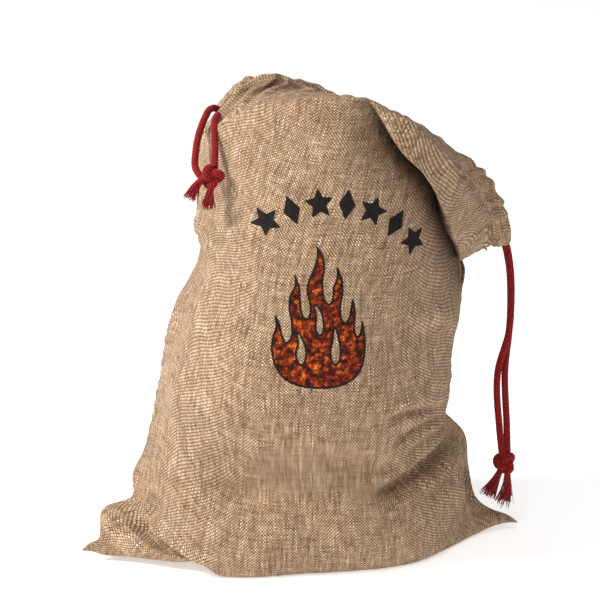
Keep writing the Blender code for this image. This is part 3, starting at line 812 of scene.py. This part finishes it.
CORD = 7.0 * MM
RUN_SIDES, RUN_RADIUS = 10, 2.6 * MM
STITCHES = 84
BRAID_PITCH = 7.2 * MM
KNOT_SIZE, KNOT_DEPTH, KNOT_CORD = 3.25 * MM, 4.2 * MM, 7.9 * MM
LEFT_KNOT = (-0.106, -0.080, 0.437)
RIGHT_KNOT = (0.2285, -0.016, 0.0835)


def spaced(points, spacing):
    """Points close together on a smooth curve through a route."""
    line = along(points, np.linspace(0.0, 1.0, 400))
    total = np.concatenate(([0.0], np.cumsum(np.linalg.norm(np.diff(line, axis=0), axis=1))))
    want = np.linspace(0.0, total[-1], max(6, int(total[-1] / spacing)))
    return np.stack([np.interp(want, total, line[:, k]) for k in range(3)], -1)


def sweep_frames(path, closed=False):
    """Unit tangents and two cross directions that turn as little as possible along the path."""
    if closed:
        tangent = np.roll(path, -1, axis=0) - np.roll(path, 1, axis=0)
    else:
        tangent = np.gradient(path, axis=0)
    tangent /= np.linalg.norm(tangent, axis=1)[:, None]
    side = np.cross(tangent[0], (0.3, 0.8, 0.2))
    side /= np.linalg.norm(side)
    sides = []
    for way in tangent:
        side = side - way * side.dot(way)
        side /= np.linalg.norm(side)
        sides.append(side)
    sides = np.array(sides)
    return tangent, sides, np.cross(tangent, sides)


def braid(name, path, width, material, closed=False, sides=32):
    """A braided cord: bumps where the plaited strands cross, on a tube along the path."""
    _, a, b = sweep_frames(path, closed)
    share = np.arange(len(path)) / len(path)
    step = np.linalg.norm(np.diff(path, axis=0), axis=1).mean()
    run, slip = np.arange(len(path)) * step, 0.0
    if closed:
        # A whole number of pitches, and a slow twist, so that the two ends meet
        run = share * max(1, round(len(path) * step / BRAID_PITCH)) * BRAID_PITCH
        slip = math.atan2(a[0] @ b[-1], a[0] @ a[-1])
    around = np.linspace(0.0, 2.0 * math.pi, sides + 1)[:-1]
    along_cord = 2.0 * math.pi * run / BRAID_PITCH
    bump = np.abs(np.cos(3.0 * around)[None, :] * np.cos(along_cord)[:, None])
    bump = np.maximum(bump, np.abs(np.sin(3.0 * around)[None, :] * np.sin(along_cord)[:, None]))
    ridge = np.sqrt(np.clip(2.0 * bump - 1.0, 0.0, 1.0))
    points = ring_points(path, a, b, around[None, :] + slip * share[:, None], width / 2.0 * (0.92 + 0.26 * ridge))
    thing = solid_object(name, points.reshape(-1, 3), ring_faces(0, len(path), sides, closed), material)
    set_value(thing.data, "ridge", ridge)
    return thing


def knot_path(centre, tilt):
    """Middle line of a drawn-down overhand knot."""
    t = np.linspace(0.0, 2.0 * math.pi, 190)[:-1]
    local = np.stack((KNOT_SIZE * (np.sin(t) + 2.0 * np.sin(2.0 * t)), KNOT_DEPTH * np.sin(3.0 * t),
                      KNOT_SIZE * (np.cos(t) - 2.0 * np.cos(2.0 * t))), -1)
    c, s = math.cos(tilt), math.sin(tilt)
    turn = np.array(((c, 0.0, s), (0.0, 1.0, 0.0), (-s, 0.0, c)))
    return local @ turn.T + np.array(centre)


YARNS, FIBRES, SPREAD = 20, 90, 0.28


def frayed(name, start, ways, material, seed):
    """A cord end that has come apart into yarns and fine fibres."""
    rng = random.Random(seed)
    route = spaced([Vector(start) + Vector(way) for way in ways], 2.0 * MM)
    total = np.linalg.norm(np.diff(route, axis=0), axis=1).sum()
    tangent, a, b = sweep_frames(route)
    verts, faces = [], []
    for index in range(YARNS + FIBRES):
        thick = index < YARNS
        angle = rng.uniform(0.0, 2.0 * math.pi)
        out = math.sqrt(rng.random())
        reach = rng.uniform(0.80, 1.0) if thick else rng.uniform(0.7, 1.05)
        size = rng.uniform(0.85, 1.2) if thick else rng.uniform(0.32, 0.60)
        lean = rng.uniform(0.3, 1.0) * SPREAD * (1.0 if thick else 1.15)
        wave, phase = rng.uniform(0.3, 0.9), rng.uniform(0.0, 6.28)
        rings, sides = (12, 7) if thick else (9, 4)
        faces += ring_faces(len(verts), rings, sides)
        for ring in range(rings):
            t = ring / (rings - 1) * reach
            place = min(t, 1.0) * (len(route) - 1)
            low = min(int(place), len(route) - 2)
            mid = route[low] + (route[low + 1] - route[low]) * (place - low)
            mid = mid + tangent[-1] * max(0.0, t - 1.0) * total
            offset = 2.9 * MM * out + lean * total * t * t * out
            wobble = wave * MM * math.sin(phase + t * 9.0) * t
            c, s = math.cos(angle + 0.9 * t), math.sin(angle + 0.9 * t)
            point = mid + a[low] * (offset * c + wobble * s) + b[low] * (offset * s - wobble * c)
            point[2] = max(point[2], 1.5 * MM)
            shrink = size * MM * (1.0 - 0.45 * t * t) * (0.86 + 0.22 * math.sin(ring * 2.4 + phase) * thick)
            for k in range(sides):
                turn = 2.0 * math.pi * k / sides
                verts.append(tuple(point + (a[low] * math.cos(turn) + b[low] * math.sin(turn)) * shrink))
    return solid_object(name, verts, faces, material)


# Points that each strand passes, in mm, and its length in metres
STRANDS = {
    "left_strand_front": (((-87, -10, 487), (-91.5, -16.5, 490), (-96, -28, 488.5), (-99, -44, 479.5),
        (-100.5, -60.5, 465), (-103, -77, 446)), 0.087),
    "left_strand_back": (((-88, 5.5, 490), (-92.5, 2.5, 493.5), (-99, -5, 494), (-106, -18, 488),
        (-114, -33, 475), (-120, -50, 458), (-122, -67, 443), (-115, -79, 433)), 0.117),
    "right_strand_front": (((223.5, -25.5, 344), (225, -22.5, 338), (227.5, -20.5, 330), (230, -20.5, 316),
        (232.5, -20, 271), (230.5, -20, 237), (219, -19, 192), (221.5, -18, 125),
        (225.5, -16.5, 91.5)), 0.256),
    "right_strand_back": (((223, -3.5, 344), (225, -6, 338), (227.5, -8, 330), (230.5, -9, 316),
        (233.5, -11, 271), (232.5, -11.5, 237), (228, -13, 192), (230.5, -14.5, 125),
        (231.5, -15.5, 91.5)), 0.256),
}
# Knot that each tail hangs from, and points on its way from there
TAILS = {
    "left_tail_front": (LEFT_KNOT, ((1, -2, -6), (-3, -5, -16), (-6, -7, -34))),
    "left_tail_back": (LEFT_KNOT, ((-8, -1, 0), (-17, -3, -8), (-25, -5, -24))),
    "right_tail_front": (RIGHT_KNOT, ((-4, -2, -6), (-11, -6, -18), (-21, -10, -36))),
    "right_tail_back": (RIGHT_KNOT, ((3, 0, -6), (3, 0, -24), (-1, 1, -50))),
}


def cords():
    """Knots and frayed ends, which ride the tassels, and the strands, which ride the strands' bodies."""
    red = cotton("red_cotton", braided=True)
    fray = cotton("red_cotton_frayed", (0.10, 0.002, 0.002), (0.42, 0.009, 0.009), 500.0)
    made = {}
    for end, centre, tilt in (("left", LEFT_KNOT, 0.5), ("right", RIGHT_KNOT, -0.25)):
        name = end + "_knot"
        made[name] = braid(name + "_cord", knot_path(centre, tilt), KNOT_CORD, red, closed=True, sides=28)
    for name, (centre, ways) in TAILS.items():
        made[name] = frayed(name + "_fibres", centre, metres(ways), fray, len(name) * 7 + ord(name[-1]))
    for name, piece in made.items():
        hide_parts(name)
        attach(piece, name.split("_")[0] + "_tassel")
    for name, (points, length) in STRANDS.items():
        end = name.split("_")[0]
        points = metres(points)
        path = spaced(points, 0.75 * MM)
        piece = braid(name + "_cord", path, CORD, red)
        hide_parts(name)
        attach(piece, end + "_strands")
        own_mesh(piece)


# ---------------------------------------------------------------- print


def star(size, inner, points, turn):
    """A star's outline; with two points it's a diamond."""
    angle = np.arange(2 * points) * math.pi / points + turn
    radius = np.where(np.arange(2 * points) % 2 == 0, size, inner)
    return np.stack((np.sin(angle) * radius, np.cos(angle) * radius), -1)


# Flame: outline in thousandths of its width and height, clockwise from the middle of its foot
FLAME = (
    (500, 0), (320, 12), (150, 55), (40, 145), (0, 260), (20, 360), (55, 430), (50, 510), (100, 450),
    (125, 370), (155, 325), (190, 330), (215, 380), (210, 470), (190, 560), (200, 650), (250, 720),
    (255, 800), (305, 720), (315, 630), (325, 550), (350, 500), (385, 500), (405, 550), (395, 620),
    (375, 690), (400, 770), (455, 850), (490, 930), (485, 1000), (555, 930), (570, 840), (550, 750),
    (555, 660), (580, 610), (615, 600), (640, 640), (650, 710), (690, 770), (700, 850), (755, 760),
    (760, 660), (735, 580), (740, 500), (770, 460), (805, 480), (830, 540), (860, 620), (895, 530),
    (885, 440), (890, 380), (915, 350), (945, 390), (965, 460), (995, 370), (1000, 250), (965, 140),
    (860, 55), (700, 10),
)
FLAME_HOLES = (
    ((310, 170), (275, 200), (270, 250), (295, 310), (285, 380), (325, 330), (355, 260), (345, 200)),
    ((670, 170), (635, 200), (630, 260), (655, 330), (665, 420), (695, 350), (715, 270), (705, 200)),
    ((500, 380), (475, 430), (480, 500), (465, 580), (520, 530), (540, 450), (530, 390)),
)


def rounded(points, count=10):
    """A closed outline softened into a smooth curve."""
    p = np.array(points, float)
    result = []
    for k in range(len(p)):
        a, b, c, d = p[k - 1], p[k], p[(k + 1) % len(p)], p[(k + 2) % len(p)]
        for t in np.linspace(0.0, 1.0, count, endpoint=False):
            result.append(0.5 * ((2 * b) + (c - a) * t + (2 * a - 5 * b + 4 * c - d) * t**2
                                 + (3 * b - a - 3 * c + d) * t**3))
    return np.array(result)


def inside_distance(points, outline):
    """Distance to a closed outline: positive inside it, negative outside."""
    a, b = outline, np.roll(outline, -1, axis=0)
    edge = b - a
    offset = points[:, None, :] - a[None]
    t = np.clip((offset * edge).sum(-1) / np.maximum((edge**2).sum(-1), 1e-18), 0.0, 1.0)
    distance = np.linalg.norm(offset - t[..., None] * edge, axis=2).min(axis=1)
    rises = (a[None, :, 1] <= points[:, None, 1]) != (b[None, :, 1] <= points[:, None, 1])
    with np.errstate(divide="ignore", invalid="ignore"):
        at = a[:, 0] + (points[:, None, 1] - a[:, 1]) / (b[:, 1] - a[:, 1]) * (b[:, 0] - a[:, 0])
    crossings = (rises & (points[:, None, 0] < at)).sum(axis=1)
    return np.where(crossings % 2 == 1, distance, -distance)


CELL = 1.1 * MM


def stamp(name, tree, outlines, holes, lift, inset, material):
    """A printed shape: a fine grid cut to the outline and laid on the cloth."""
    every = np.concatenate(outlines)
    low, high = every.min(0) - CELL, every.max(0) + CELL
    xs, zs = (np.arange(low[k], high[k] + CELL, CELL) for k in (0, 1))
    grid = np.stack(np.meshgrid(xs, zs), -1)
    flat = grid.reshape(-1, 2)
    field = np.max([inside_distance(flat, outline) for outline in outlines], axis=0)
    for hole in holes:
        field = np.minimum(field, -inside_distance(flat, hole))
    field = (field - inset).reshape(grid.shape[:2])
    verts, faces, known = [], [], {}

    def vertex(key, place):
        if key not in known:
            known[key] = len(verts)
            verts.append(place)
        return known[key]

    rows, columns = field.shape
    for row in range(rows - 1):
        for column in range(columns - 1):
            corners = ((row, column), (row, column + 1), (row + 1, column + 1), (row + 1, column))
            values = [field[c] for c in corners]
            if max(values) <= 0.0:
                continue
            loop = []
            for k in range(4):
                p, q = corners[k], corners[(k + 1) % 4]
                if field[p] > 0.0:
                    loop.append(vertex(p, grid[p]))
                if (field[p] > 0.0) != (field[q] > 0.0):
                    t = field[p] / (field[p] - field[q])
                    loop.append(vertex((min(p, q), max(p, q)), grid[p] + (grid[q] - grid[p]) * t))
            if len(loop) > 2:
                faces.append(loop)
    laid = []
    for x, z in verts:
        hit, normal, _, _ = tree.ray_cast(Vector((x, -1.0, z)), Vector((0.0, 1.0, 0.0)))
        laid.append(tuple(hit + normal * lift))
    thing = solid_object(name, laid, faces, material)
    set_uv(thing.data, np.array(verts))
    return thing


FLAME_CORNER, FLAME_SIZE = np.array((-0.0515, 0.2196)), np.array((0.1015, 0.1530))
# Arc of the motif: centre, radius, and the turn of its first shape and of each next one in degrees
ARC_CENTRE, ARC_RADIUS = np.array((0.0120, 0.2990)), 0.1170
ARC_START, ARC_STEP = -34.0, 14.6


def printed(front):
    """The flame, and the arc of stars and diamonds over it, printed on the front."""
    black = hessian("black_print", ink=black_ink)
    ember = hessian("ember_print", ink=ember_ink)
    mesh = front.data
    tree = BVHTree.FromPolygons([v.co for v in mesh.vertices], [tuple(p.vertices) for p in mesh.polygons])
    outline, *holes = (rounded(np.array(line) / 1000 * FLAME_SIZE + FLAME_CORNER)
                       for line in (FLAME, *FLAME_HOLES))
    pieces = [stamp("flame_outline", tree, [outline], holes, 0.25 * MM, 0.0, black),
              stamp("flame_fill", tree, [outline], holes, 0.45 * MM, 2.2 * MM, ember)]
    shapes = []
    for index in range(7):
        turn = math.radians(ARC_START + ARC_STEP * index)
        place = ARC_CENTRE + ARC_RADIUS * np.array((math.sin(turn), math.cos(turn)))
        shape = star(0.0164, 0.0078, 5, turn) if index % 2 == 0 else star(0.0160, 0.0090, 2, turn)
        shapes.append(shape + place)
    pieces.append(stamp("arched_motif", tree, shapes, [], 0.25 * MM, 0.0, black))
    for piece in pieces:
        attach(piece, "sack")
    return pieces


# ---------------------------------------------------------------- the sack


def sack():
    """Both panels with their hems, stitches and print, the cords in the hem, and the hidden seams."""
    cloth_material = hessian("hessian")
    hem_material = hessian("hessian_hem")
    inner = hessian("hessian_allowance", source="Object", tint=(1.1, 0.98, 0.86))
    sewing = thread_material("sewing_thread")
    front = panel("front_cloth", -1, cloth_material)
    back = panel("back_cloth", 1, cloth_material)
    hems = hem("front_hem", -1, hem_material), hem("back_hem", 1, hem_material)
    rows = stitches("front_stitches", -1, sewing), stitches("back_stitches", 1, sewing)
    prints = printed(front)
    for side, piece, band, row in (("front", front, hems[0], rows[0]), ("back", back, hems[1], rows[1])):
        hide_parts(side + "_panel")
        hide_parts(side + "_casing")
        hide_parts(side + "_hem_stitch")
        for thing in (piece, band, row):
            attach(thing, "sack")
    cord_run("left_cord_run", 0.33, cotton("red_cotton_run"))
    cord_run("right_cord_run", 0.68, cotton("red_cotton_run_right"))
    for name, paint in (("left_side_seam", inner), ("right_side_seam", inner), ("bottom_seam", inner),
                        ("left_bartack", sewing), ("right_bartack", sewing)):
        node = bpy.data.objects[name]
        node.data.materials.clear()
        node.data.materials.append(paint)


camera()
studio()
cords()
sack()
